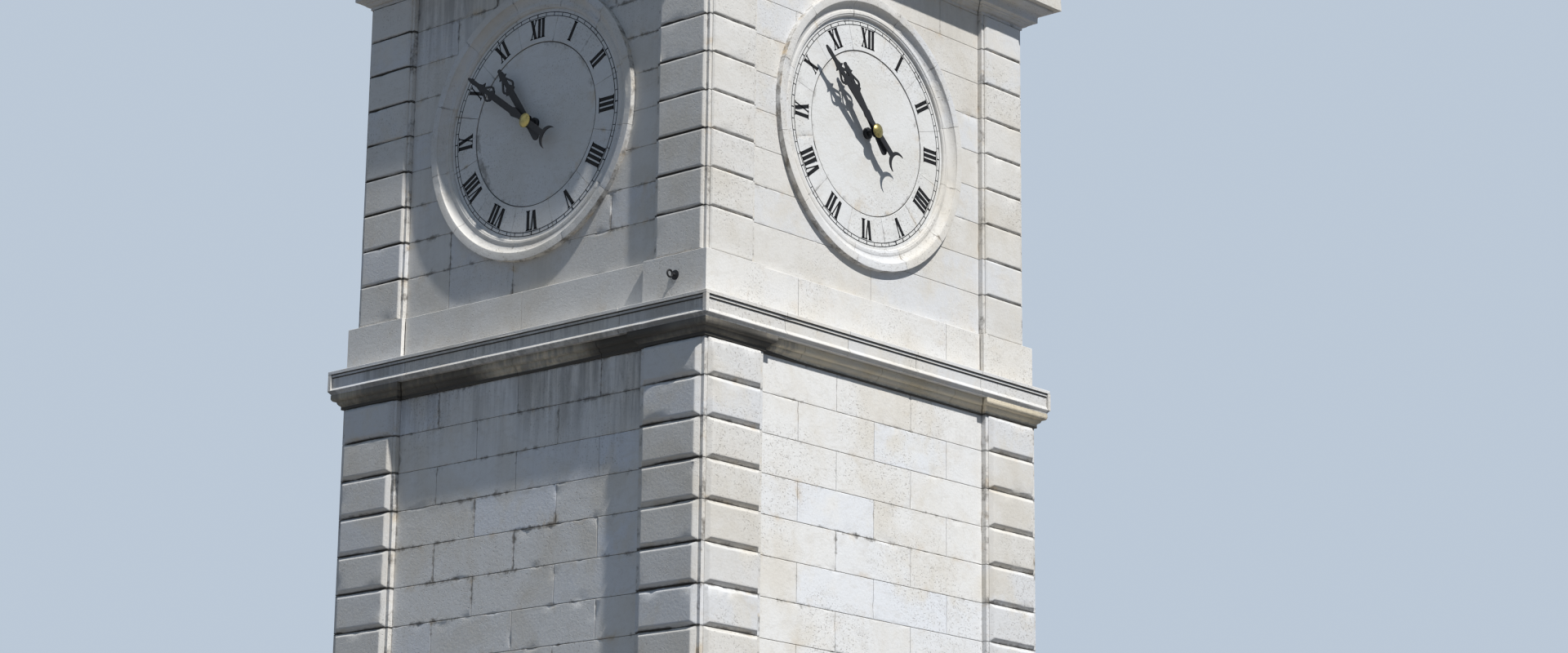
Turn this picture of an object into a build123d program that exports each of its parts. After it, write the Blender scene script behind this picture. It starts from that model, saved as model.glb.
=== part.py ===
from build123d import *
import os

os.makedirs("parts", exist_ok=True)

# All sizes are in millimetres. The origin is on the ground at the middle of the
# tower, +Z is up and the front is the -Y side.

# Lower stage: plain panels between corner piers of bevelled blocks
lower_half = 2400          # from the centre to the face of a corner pier
lower_pier = 777           # width of a corner pier
lower_sink = 50            # a panel lies this far behind the piers
lower_course = 372         # height of one block
lower_courses = 22         # whole blocks above the base
lower_cap_block = 355      # the last block, cut shorter by the mouldings above it
lower_margin = 40          # flat strip left beside the blocks
lower_step = 6             # square step at the foot of the bevel
lower_bevel = 36           # width and depth of the bevel round a block

# Base under the lower stage
base_height = 620
base_reach = 90            # how far the base stands out from the piers
base_slope = 70            # height of its sloping top

# String course between the stages
bed_height = 145
bed_fillet = 35
bed_fillet_reach = 20
bed_reach = 100
string_height = 235
string_reach = 118
string_top_band = 52       # plain band above the sunk panel
string_low_band = 23
string_end_band = 30
string_ledge = 27          # width of the small inner frame of the sunk panel
string_sink = 10           # depth of each of its two steps
string_slope = 26          # rise of the weathered top

# Plain plinth of the clock stage
plinth_setback = 10        # its corner blocks stand this far behind the piers below
plinth_sink = 47
plinth_block_lap = 70      # the corner blocks are this much wider than the piers
plinth_height = 430
plinth_slope = 6           # rise of its nearly flat top

# Clock stage
clock_setback = 67         # its piers stand this far behind the plinth
clock_pier = 640
clock_sink = 47
clock_first_course = 415   # the lowest course is taller than the others
clock_course = 364
clock_courses = 8          # courses above the lowest one
clock_margin = 34
clock_step = 12
clock_bevel = 16

# Top cornice
crown_bed_height = 220
crown_reach = 300
crown_height = 240
crown_inner_band = 60
parapet_setback = 23
parapet_height = 330
parapet_wall = 320
roof_rise = 620
roof_eave = 90
roof_shell = 120

# Dial, the same on all four faces; heights are measured from the face of the numeral ring
dial_above_plinth = 1672   # centre of the dial above the foot of the clock stage
dial_sink = 30             # numeral ring behind the face of the wall
dial_stone = 120           # thickness of the dial stones
ring_outer = 1145
ring_inner = 812
disc_drop = 6              # the inner disc lies behind the numeral ring
surround_outer = 1357
surround_inner = 1137
surround_reach = 58        # how far the surround stands out from the wall
surround_lip = 8           # square edge next to the numerals
surround_hollow = 22       # the small hollow beside that edge
surround_fillet = 32       # flat strip between the two hollows
surround_band = 72         # flat outer band
surround_round = 5         # radius of its outer edge

# Hands: lengths run from the centre of the dial, widths are to one side of the middle
hand_plate = 10
minute_length = 1005
minute_head = 270          # from the tip down to the neck of the spear head
minute_eye = 372           # from the tip down to the widest part of the openwork eye
minute_shaft = 33
minute_collar = 205        # height of the little shoulders above the centre
minute_tail = 285
crescent_radius = 113
crescent_depth = 40
hour_length = 737
hour_head = 127
hour_eye = 247
hour_shaft = 35
hour_tail = 250
hour_tail_width = 41
eye_reach = 81             # half the width of both openwork eyes
eye_radius = 54
eye_strap = 20
eye_bar = 24
hub_radius = 60

# Shafts of the hands; levels are measured from the face of the numeral ring
hour_level = 94            # back of the hour hand
minute_level = 124
arbor_radius = 14
arbor_rear = 300           # how far the minute shaft reaches behind the numeral ring
pipe_outer = 24
pipe_rear = 70
running_gap = 0.3          # all round each turning shaft
boss_radius = 57
boss_height = 34
boss_bevel = 8
cap_radius = 70
cap_height = 30
cap_rim = 5

# Where each hand stands, in degrees clockwise from twelve: (minute, hour)
hand_angles = {
    "front": (311.2, 321.5),
    "left": (306.3, 325.1),
    "back": (306.0, 325.5),
    "right": (306.0, 325.5),
}
turn = {"front": 0, "left": -90, "back": 180, "right": 90}

# Levels and widths that follow from the sizes above
plinth_half = lower_half - plinth_setback
clock_half = plinth_half - clock_setback
parapet_half = clock_half - parapet_setback
lower_joints = [base_height + lower_course * k for k in range(lower_courses + 1)]
lower_top = lower_joints[-1] + lower_cap_block
string_base = lower_top + bed_height
string_top = string_base + string_height
plinth_top = string_top + plinth_height
clock_base = plinth_top + plinth_slope
clock_second = clock_base + clock_first_course
clock_joints = [clock_base] + [clock_second + clock_course * k for k in range(clock_courses + 1)]
clock_top = clock_joints[-1]
crown_base = clock_top + crown_bed_height
crown_top = crown_base + crown_height
parapet_top = crown_top + parapet_height
dial_z = clock_base + dial_above_plinth
lower_in = lower_half - lower_pier
clock_in = clock_half - clock_pier
lower_panel = lower_half - lower_sink
clock_panel = clock_half - clock_sink
dial_plane = clock_panel - dial_sink
pipe_inner = arbor_radius + running_gap
bore_radius = pipe_outer + running_gap


def slab(x0, x1, y0, y1, z0, z1):
    """A box given by its limits."""
    return Pos((x0 + x1) / 2, (y0 + y1) / 2, (z0 + z1) / 2) * Box(x1 - x0, y1 - y0, z1 - z0)


def square_hole(half, z0, z1):
    """The square inside of the tower between two levels."""
    return slab(-half, half, -half, half, z0, z1)


def outline(half, side):
    """Closed face of a moulding: its right side, mirrored to the left about the middle.

    side lists points (out, up); a point with four numbers ends an arc and gives
    the point that the arc passes through first.
    """
    edges = []
    here = (half + side[0][0], side[0][1])
    start = here
    for step in side[1:]:
        end = (half + step[-2], step[-1])
        if len(step) == 2:
            edges.append(Line(here, end))
        else:
            edges.append(ThreePointArc(here, (half + step[0], step[1]), end))
        here = end
    edges += [edge.mirror(Plane.YZ) for edge in edges]
    edges.append(Line((-start[0], start[1]), start))
    edges.append(Line(here, (-here[0], here[1])))
    return make_face(edges)


def moulded_block(half_x, half_y, side, base):
    """A block with the same moulding mitred round its four sides."""
    widest = max(step[-2] for step in side) + max(half_x, half_y) + 10
    along = extrude(Plane.XZ * outline(half_x, side), widest, both=True)
    across = extrude(Plane.YZ * outline(half_y, side), widest, both=True)
    return Pos(0, 0, base) * (along & across)


def broken_moulding(half, sink, pier, side, base, inner):
    """A moulding round the tower that steps forward over the four corner piers."""
    body = moulded_block(half - sink, half - sink, side, base)
    for sx in (-1, 1):
        for sy in (-1, 1):
            away = half - pier / 2
            body += Pos(sx * away, sy * away, 0) * moulded_block(pier / 2, pier / 2, side, base)
    top = base + side[-1][-1]
    return body - square_hole(inner, base - 1, top + 1)


def block_column(width, joints, margin, step, bevel):
    """A row of bevelled blocks, one above the other, standing out along -Y from y = 0."""
    raised = step + bevel
    back = 20
    levels = [(back, joints[0]), (-step, joints[0])]
    for low, high in zip(joints, joints[1:]):
        levels += [(-raised, low + bevel), (-raised, high - bevel), (-step, high)]
    levels.append((back, joints[-1]))
    upright = extrude(Plane.YZ * make_face(Polyline(*levels, close=True)), width)
    plan = [
        (margin, back),
        (margin, -step),
        (margin + bevel, -raised),
        (width - margin - bevel, -raised),
        (width - margin, -step),
        (width - margin, back),
    ]
    flat = extrude(make_face(Polyline(*plan, close=True)), joints[-1])
    return upright & flat


def corner_piers(half, width, joints, margin, step, bevel):
    """The four corner piers of one stage, with blocks on their two outer faces."""
    core = slab(-half, -half + width, -half, -half + width, joints[0], joints[-1])
    front = Pos(-half, -half, 0) * block_column(width, joints, margin, step, bevel)
    side = front.mirror(Plane(origin=(0, 0, 0), z_dir=(1, -1, 0)))
    pier = core + front + side
    pair = [pier, pier.mirror(Plane.YZ)]
    return Compound(children=pair + [piece.mirror(Plane.XZ) for piece in pair])


def on_face(name, piece):
    """Turn a piece that was made on the front face onto the named face."""
    return Rot(0, 0, turn[name]) * piece


def dial_pos(height=0):
    """The dial centre on the front face, local Z pointing out of the wall."""
    return Plane(origin=(0, -dial_plane - height, dial_z), x_dir=(1, 0, 0), z_dir=(0, -1, 0))


def wall(half, inner, z0, z1):
    """One wall between two piers, on the front face."""
    return slab(-inner, inner, -half, -inner, z0, z1)


def save(name, shape):
    shape.label = name
    export_step(shape, f"parts/{name}.step")


def save_on_faces(name, piece):
    save(name, Compound(children=[on_face(face, piece) for face in turn]))


# Base
base_side = [(base_reach, 0), (base_reach, base_height - base_slope), (0, base_height)]
base = moulded_block(lower_half, lower_half, base_side, 0)
save("base_plinth", base - square_hole(lower_in, -1, base_height + 1))

# Lower stage
for face in turn:
    save(f"lower_wall_{face}", on_face(face, wall(lower_panel, lower_in, base_height, lower_top)))
save(
    "lower_corner_piers",
    corner_piers(
        lower_half, lower_pier, lower_joints + [lower_top], lower_margin, lower_step, lower_bevel
    ),
)

# String course: mouldings that break forward over the piers, then a straight band
bed_side = [
    (bed_fillet_reach, 0),
    (bed_fillet_reach, bed_fillet),
    (bed_fillet_reach + 18, bed_fillet + 12, 52, bed_fillet + 44),
    (bed_reach - 12, bed_height - 52, bed_reach - 6, bed_height - 22),
    (bed_reach, bed_height - 22),
    (bed_reach, bed_height),
]
save(
    "string_bed_mould",
    broken_moulding(lower_half, lower_sink, lower_pier, bed_side, lower_top, lower_in),
)

string_half = lower_half + string_reach
string_side = [(0, 0), (0, string_height), (plinth_half - string_half, string_height + string_slope)]
string = moulded_block(string_half, string_half, string_side, string_base)
string -= square_hole(lower_in, string_base - 1, string_top + string_slope + 1)
for face in turn:
    end = string_half - string_end_band
    low = string_base + string_low_band
    high = string_top - string_top_band
    string -= on_face(
        face, slab(-end, end, -string_half - 1, -string_half + string_sink, low, high)
    )
    string -= on_face(
        face,
        slab(
            -end + string_ledge,
            end - string_ledge,
            -string_half - 1,
            -string_half + 2 * string_sink,
            low,
            high - string_ledge,
        ),
    )
save("string_course", string)

# Clock stage: plinth, walls and piers
plinth_low = string_top + string_slope
plinth_side = [
    (0, 0),
    (0, plinth_top - plinth_low),
    (clock_half - plinth_half, clock_base - plinth_low),
]
plinth_block = clock_pier + plinth_half - clock_half + plinth_block_lap
save(
    "clock_plinth",
    broken_moulding(plinth_half, plinth_sink, plinth_block, plinth_side, plinth_low, clock_in),
)

clock_wall = wall(clock_panel, clock_in, clock_base, clock_top)
dial_recess = dial_stone + dial_sink
clock_wall -= dial_pos(-dial_stone + dial_recess / 2) * Cylinder(ring_outer, dial_recess)
clock_wall -= dial_pos(-clock_pier / 2) * Cylinder(bore_radius, 2 * clock_pier)
for face in turn:
    save(f"clock_wall_{face}", on_face(face, clock_wall))
save(
    "clock_corner_piers",
    corner_piers(clock_half, clock_pier, clock_joints, clock_margin, clock_step, clock_bevel),
)

# Top cornice, parapet and roof
crown_side = [
    (12, 0),
    (12, 30),
    (38, 34, 60, 58),
    (84, 61),
    (84, 72),
    (100, 80),
    (126, 82),
    (126, 130),
    (140, 160, 180, 168),
    (240, 200),
    (240, crown_bed_height),
]
save(
    "cornice_bed_mould",
    broken_moulding(clock_half, clock_sink, clock_pier, crown_side, clock_top, clock_in),
)
crown_half = clock_half + crown_reach
crown_sides = [
    (0, 0),
    (0, crown_height - crown_inner_band),
    (-18, crown_height - crown_inner_band),
    (-18, crown_height),
]
crown = moulded_block(crown_half, crown_half, crown_sides, crown_base)
save("cornice", crown - square_hole(clock_in, crown_base - 1, crown_top + 1))
parapet = square_hole(parapet_half, crown_top, parapet_top)
save("parapet", parapet - square_hole(parapet_half - parapet_wall, crown_top - 1, parapet_top + 1))

roof_half = parapet_half + roof_eave
roof_side = [(0, 0), (0, roof_shell), (-roof_half + 1, roof_rise)]
hollow_half = parapet_half - parapet_wall
hollow_side = [(0, -1), (0, 0), (1 - hollow_half, roof_rise - roof_shell)]
roof = moulded_block(roof_half, roof_half, roof_side, parapet_top)
save("roof", roof - moulded_block(hollow_half, hollow_half, hollow_side, parapet_top))

# Dial stones and surround
numeral_ring = Pos(0, 0, -dial_stone / 2) * (
    Cylinder(ring_outer, dial_stone) - Cylinder(ring_inner, dial_stone)
)
save_on_faces("numeral_rings", dial_pos() * numeral_ring)
disc_height = dial_stone - disc_drop
disc = Pos(0, 0, -dial_stone + disc_height / 2) * (
    Cylinder(ring_inner, disc_height) - Cylinder(bore_radius, disc_height)
)
save_on_faces("dial_discs", dial_pos() * disc)

# Section of the surround: out from the dial centre, then up from the numeral ring
surround_top = dial_sink + surround_reach
hollow_end = surround_inner + surround_hollow
fillet_up = surround_lip + surround_hollow
fillet_end = hollow_end + surround_fillet
band_start = surround_outer - surround_round - surround_band
hollow_middle = ((2 * fillet_end + band_start) / 3, fillet_up + (surround_top - fillet_up) / 6)
round_middle = surround_outer - surround_round * 0.3, surround_top - surround_round * 0.3
surround_edges = [
    Line((ring_outer, 0), (surround_inner, 0)),
    Line((surround_inner, 0), (surround_inner, surround_lip)),
    RadiusArc((surround_inner, surround_lip), (hollow_end, fillet_up), surround_hollow),
    Line((hollow_end, fillet_up), (fillet_end, fillet_up)),
    ThreePointArc((fillet_end, fillet_up), hollow_middle, (band_start, surround_top)),
    Line((band_start, surround_top), (surround_outer - surround_round, surround_top)),
    ThreePointArc(
        (surround_outer - surround_round, surround_top),
        round_middle,
        (surround_outer, surround_top - surround_round),
    ),
    Line((surround_outer, surround_top - surround_round), (surround_outer, dial_sink)),
    Line((surround_outer, dial_sink), (ring_outer, dial_sink)),
    Line((ring_outer, dial_sink), (ring_outer, 0)),
]
surround = revolve(Plane.XZ * make_face(surround_edges), Axis.Z)
save_on_faces("dial_surrounds", dial_pos() * surround)
boss = Pos(0, 0, -disc_drop + boss_height / 2) * (
    Cylinder(boss_radius, boss_height) - Cylinder(bore_radius, boss_height)
)
boss_rim = boss.edges().filter_by(GeomType.CIRCLE).group_by(Axis.Z)[-1].sort_by(SortBy.RADIUS)[-1]
save_on_faces("dial_bosses", dial_pos() * chamfer(boss_rim, boss_bevel))


def mirrored(points):
    """Flat shape from its right side, points (out, up), mirrored about the hand's length."""
    left = [(-x, y) for x, y in reversed(points)]
    return make_face(Polyline(*points, *left, close=True))


def eye(height, neck):
    """Leaf-shaped openwork: a strap on each side of a middle bar, closing at the neck."""
    off = eye_reach - eye_radius
    foot = [Pos(side * off, height) * Circle(eye_radius) for side in (-1, 1)]
    top = Pos(0, neck) * Circle(eye_bar)
    leaf = make_hull([*foot[0].edges(), *foot[1].edges(), *top.edges()])
    inside = offset(leaf, -eye_strap)
    bar_length = 4 * eye_reach
    return leaf - (inside - Pos(0, height) * Rectangle(2 * eye_bar, bar_length))


def minute_plate():
    """Flat shape of a minute hand that points to twelve."""
    tip = minute_length
    neck = tip - minute_head
    eye_height = tip - minute_eye
    shoulder = minute_collar
    head = [(22, neck), (68, neck + 13), (38, neck + 35), (22, neck + 95), (23, tip - 55), (8, tip)]
    shaft = [
        (26, hub_radius - 10),
        (26, shoulder / 2),
        (48, shoulder),
        (minute_shaft, shoulder + 45),
        (minute_shaft, eye_height - eye_radius - 15),
        (60, eye_height - eye_radius),
        (minute_shaft, eye_height),
    ]
    shape = mirrored(head) + mirrored(shaft) + eye(eye_height, neck)
    shape += mirrored([(30, -minute_tail), (30, 0)]) + Circle(hub_radius)
    crescent_at = -minute_tail - crescent_radius + 10
    crescent = Pos(0, crescent_at) * Circle(crescent_radius)
    crescent -= Pos(0, crescent_at - crescent_depth) * Circle(crescent_radius)
    crescent &= Pos(0, crescent_at + crescent_radius) * Rectangle(
        2 * crescent_radius, 2 * crescent_radius + crescent_depth
    )
    return shape + crescent - Circle(arbor_radius)


def hour_plate():
    """Flat shape of an hour hand that points to twelve."""
    tip = hour_length
    neck = tip - hour_head
    eye_height = tip - hour_eye
    knob = 22
    head = [(22, neck), (55, neck + 15), (36, neck + 30), (28, neck + 70), (14, tip - knob)]
    shaft = [
        (hour_shaft, 0),
        (hour_shaft, eye_height - eye_radius - 25),
        (65, eye_height - eye_radius - 5),
        (hour_shaft, eye_height),
    ]
    shape = mirrored(head) + mirrored(shaft) + eye(eye_height, neck)
    shape += Pos(0, tip - knob) * Circle(knob)
    tail = mirrored([(hour_tail_width, hour_tail_width - hour_tail), (hour_shaft, 0)])
    shape += tail + Pos(0, hour_tail_width - hour_tail) * Circle(hour_tail_width)
    return shape + Circle(hub_radius) - Circle(pipe_inner)


minute_hand = extrude(minute_plate(), hand_plate)
pipe_length = pipe_rear + hour_level
hour_hand = extrude(hour_plate(), hand_plate) + Pos(0, 0, -pipe_length / 2) * (
    Cylinder(pipe_outer, pipe_length) - Cylinder(pipe_inner, pipe_length)
)
arbor_length = arbor_rear + minute_level + hand_plate
arbor = Pos(0, 0, -arbor_rear + arbor_length / 2) * Cylinder(arbor_radius, arbor_length)
dome_radius = (cap_radius**2 + cap_height**2) / (2 * cap_height)
cap = Pos(0, 0, cap_height - dome_radius) * Sphere(dome_radius)
cap &= Pos(0, 0, cap_height) * Cylinder(cap_radius, 2 * cap_height)
cap += Pos(0, 0, cap_rim / 2) * Cylinder(cap_radius, cap_rim)

for face in turn:
    minute_angle, hour_angle = hand_angles[face]
    hand = dial_pos(minute_level) * Rot(0, 0, -minute_angle) * minute_hand
    save(f"minute_hand_{face}", on_face(face, hand))
    save(f"minute_arbor_{face}", on_face(face, dial_pos() * arbor))
    save(f"hub_cap_{face}", on_face(face, dial_pos(minute_level + hand_plate) * cap))
    hand = dial_pos(hour_level) * Rot(0, 0, -hour_angle) * hour_hand
    save(f"hour_hand_{face}", on_face(face, hand))
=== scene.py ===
import cmath
import itertools
import math
from collections import namedtuple

import bmesh
import bpy
import numpy as np
from mathutils import Matrix, Vector


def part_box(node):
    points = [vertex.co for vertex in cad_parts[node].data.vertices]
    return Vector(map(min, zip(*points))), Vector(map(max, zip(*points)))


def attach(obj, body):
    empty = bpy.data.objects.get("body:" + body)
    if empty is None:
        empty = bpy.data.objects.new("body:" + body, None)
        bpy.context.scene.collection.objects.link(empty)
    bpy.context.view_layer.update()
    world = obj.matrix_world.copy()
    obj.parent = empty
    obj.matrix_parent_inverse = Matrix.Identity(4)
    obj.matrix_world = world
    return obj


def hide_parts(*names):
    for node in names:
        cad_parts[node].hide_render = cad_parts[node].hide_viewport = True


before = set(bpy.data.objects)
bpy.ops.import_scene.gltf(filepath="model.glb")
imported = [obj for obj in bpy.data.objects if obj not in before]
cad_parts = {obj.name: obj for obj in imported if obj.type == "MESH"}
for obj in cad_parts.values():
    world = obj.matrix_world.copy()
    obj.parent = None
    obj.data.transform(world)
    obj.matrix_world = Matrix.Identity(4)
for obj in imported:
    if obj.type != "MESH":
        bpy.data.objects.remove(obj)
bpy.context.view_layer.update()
scene = bpy.context.scene
scene.view_settings.view_transform = "Standard"

# Lengths are in metres. The front is the -Y side; each face is made there and turned into place.
FACES = {"front": 0, "left": -90, "back": 180, "right": 90}

# Camera: the photograph's place and angle, found from the tower's edges and joints. The
# photograph's upright lines are nearly parallel; the camera tilts up instead of shifting.
CAMERA_AT = (-23.114, -21.584, 1.983)
CAMERA_YAW = math.radians(47.083)  # from +Y towards +X
CAMERA_PITCH = math.radians(14.401)
CAMERA_ROLL = math.radians(1.035)
CAMERA_LENS = 75.76
CAMERA_SHIFT_X = 0.0544

# Light
SUN_TOWARD = (-0.17, -1.0, 1.28)
SUN_STRENGTH = 4.35
FILL_TOWARD = (1.0, 1.0, 0.4)
FILL_STRENGTH = 1.8
SKY_STRENGTH = 0.30

# Weather: dirt in the joints of each face, which also sets how dark the painted shade in the pier
# grooves and mouldings is, and dark water runs below the two cornices
SOIL_AND_SHADE = {"front": 0.6, "left": 1.4, "back": 1.2, "right": 0.9}
LOWER_RUNS = {"front": 0.25, "left": 1.0, "back": 0.8, "right": 0.5}
CLOCK_RUNS = {"front": 0.25, "left": 0.75, "back": 0.6, "right": 0.4}

# Places where joints are broken open: face, distance along it from its middle, height, reach
BROKEN_JOINTS = (
    ("left", 0.95, 10.76, 0.28),
    ("left", 1.09, 10.56, 0.28),
    ("left", -0.45, 10.36, 0.20),
    ("front", -0.60, 7.62, 0.40),
    ("front", -0.15, 7.62, 0.30),
    ("front", -0.95, 6.20, 0.30),
    ("front", 0.90, 8.40, 0.20),
)

# Stonework
JOINT = 0.005  # open joint between two stones
MITRE = 0.012  # open joint where a moulding steps back beside a pier
ARRIS = 0.003  # worn edge of a stone
MORTAR_DEPTH = 0.008  # mortar behind the face of the stones
STONE_DEPTH = 0.030  # how far a facing stone reaches into the wall
REACH = 0.300  # how far a moulding's stones reach into the tower
STONE_LENGTH = 1.078  # the common length of a wall stone
GRID = 0.050  # distance between grid lines inside a stone
PIER_GRID = 0.070  # the same for the blocks of the piers
EDGE_LINES = (0, 0.0012, 0.003, 0.008, 0.017, 0.030)

# Lower stage
LOWER_HALF = 2.400  # from the tower's axis to the face of the piers
LOWER_PIER = 0.777  # width of a pier
LOWER_SINK = 0.050  # how far the wall lies behind the piers
LOWER_COURSE = 0.372
LOWER_COURSES = 22
LOWER_PAD = (0.040, 0.006, 0.036)  # margin, square step and bevel of a pier block

# Clock stage
CLOCK_HALF = 2.323  # the same for the clock stage
CLOCK_PIER = 0.640
CLOCK_SINK = 0.047
CLOCK_FIRST_COURSE = 0.415  # its lowest course is taller
CLOCK_COURSE = 0.364
CLOCK_COURSES = 8
CLOCK_PAD = (0.034, 0.012, 0.016)

# Upright joints of the lowest clock course and of the clock plinth, from each face's middle
LOWEST_JOINTS = {"front": (0.03,), "left": (-1.08, -0.20), "back": (0.03,), "right": (-0.85, 0.25)}
PLINTH_JOINTS = {"front": (-1.05, 1.10), "left": (0.0,), "back": (-0.9, 0.8), "right": (0.1,)}

# Dial
ring_low, ring_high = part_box("numeral_rings")
DIAL_Z = (ring_low[2] + ring_high[2]) / 2
DIAL_PLANE = ring_high[0]  # from the tower's axis to the face of the numerals
RING_INNER = 0.812
RING_OUTER = (ring_high[2] - ring_low[2]) / 2
SURROUND_INNER = 1.137
SURROUND_OUTER = 1.357
UNDER_SURROUND = 1.25  # radius where the facing stones end behind the surround
RING_DEPTH = 0.12  # depth of the recess that takes the ring and the disc
SURROUND_JOINTS = (17, 46, 74, 102.5, 130, 158, 190, 227, 257, 288, 318, 348)
SHAFT_HOLE = 0.0243
NUMERAL_RADIUS = 0.9545
NUMERAL_HEIGHT = 0.197
THICK = 0.036  # strokes of the letters
THIN = 0.013
SERIF = 0.009

# Roman letters: width, strokes (foot, head, thickness) and serifs (place, width, at the head)
LETTERS = {
    "I": (0.052, [(0.026, 0.026, THICK)], [(0.026, 0.055, True), (0.026, 0.055, False)]),
    "V": (
        0.100,
        [(0.048, 0.024, THICK), (0.060, 0.082, THIN)],
        [(0.024, 0.050, True), (0.082, 0.034, True)],
    ),
    "X": (
        0.100,
        [(0.078, 0.024, THICK), (0.024, 0.078, THIN)],
        [(0.024, 0.050, True), (0.024, 0.034, False), (0.078, 0.050, False), (0.078, 0.034, True)],
    ),
}

# Minute track and black inlay
TRACK_RADII = (1.065, 1.101)
TRACK_LINE = 0.0065
SUNK = -0.001  # the black marks start under the stone's face
INLAY = 0.0016  # and stand this far above it

# Eye bolt on the left face: place along the face, height
EYE_BOLT = (-2.015, 9.775)

# Colours of the weather on the stone, and the black of its painted shade
VEIN = (0.52, 0.48, 0.42, 1)
STAIN = (0.56, 0.43, 0.27, 1)
SPECKLE = (0.47, 0.43, 0.37, 1)
PIT = (0.29, 0.255, 0.21, 1)
GRIME = (0.115, 0.100, 0.083, 1)
PACKED_DIRT = (0.13, 0.105, 0.078, 1)
WATER_RUN = (0.21, 0.205, 0.20, 1)
GROWTH = (0.17, 0.16, 0.135, 1)
# black for grime and for painted shade in steps and grooves
BLACK_SHADE_AND_GRIME = (0.055, 0.050, 0.043, 1)


# Noise and wear. Each noise or chips call has a seed of its own, so that no two patterns agree,
# and a stone's points are first moved by a multiple of its number, so that no two stones do.


def lattice(cell, seed):
    """A repeatable value from -1 to 1 for each corner of a whole-number grid."""
    mask = 0xFFFFFFFF
    n = (cell[..., 0] * 374761393 + cell[..., 1] * 668265263 + cell[..., 2] * 1274126177) & mask
    n = ((n + seed * 97463477) & mask) ^ (n >> 13)
    n = (n * 1103515245 + 12345) & mask
    n = (n ^ (n >> 15)) * 69069 & mask
    return (n & 0xFFFF) / 32767.5 - 1.0


def tone_of(*keys):
    """A repeatable value from 0 to 1 for one stone, given three whole numbers."""
    return (lattice(np.array(keys), 3) + 1) / 2


def noise(points, size, seed=0):
    """Smooth noise from -1 to 1 at the points; size is the length of one bump."""
    scaled = points / size
    base = np.floor(scaled).astype(np.int64)
    part = scaled - base
    part = part * part * (3 - 2 * part)
    total = np.zeros(points.shape[:-1])
    for corner in itertools.product((0, 1), repeat=3):
        weight = np.prod(np.where(corner, part, 1 - part), axis=-1)
        total += weight * lattice(base + np.array(corner), seed)
    return total


def smooth_min(a, b, blend):
    """The smaller of two values, rounded where they meet."""
    return np.minimum(a, b) - np.maximum(0, blend - np.abs(a - b)) ** 2 / (4 * blend)


def fade(distance, reach):
    """1 at no distance, falling to 0 at the reach."""
    return np.clip(1 - distance / reach, 0, 1)


def worn_arris(to_edge):
    """Depth rounded off a stone's edge, given each point's distance from it."""
    return np.maximum(0, ARRIS - to_edge) ** 2 / (2 * ARRIS)


def chips(points, to_edge, seed, reach=0.05, depth=0.0065, weak=0.0):
    """Depth broken away near an edge, given each point's distance from the edge."""
    rough = noise(points, 0.11, seed) + 0.6 * noise(points, 0.04, seed + 1)
    size = np.clip(rough - 0.55 + weak, 0, 1) * reach * 2
    return np.clip((size - to_edge) * 0.5, 0, depth)


def weakness(face, u, z):
    """How much the joints are broken open at places on one face of the tower."""
    total = np.zeros(u.shape)
    for name, at, level, reach in BROKEN_JOINTS:
        if name == face:
            total += 0.6 * fade(np.hypot(u - at, z - level), reach)
    return total


def side_of(x, y):
    """The face of the tower that a place on the plan belongs to."""
    if abs(y) > abs(x):
        return "front" if y < 0 else "back"
    return "left" if x < 0 else "right"


# Meshes. Each point has three marks for the material: the stone's tone, dirt, and a third mark that
# holds dark water runs, soot and black grime, and also painted shade in some steps, grooves and
# undersides.


def marked(tone, dirt, grime_and_shade):
    return np.stack((np.full(dirt.shape, tone), dirt, grime_and_shade), axis=-1)


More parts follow.
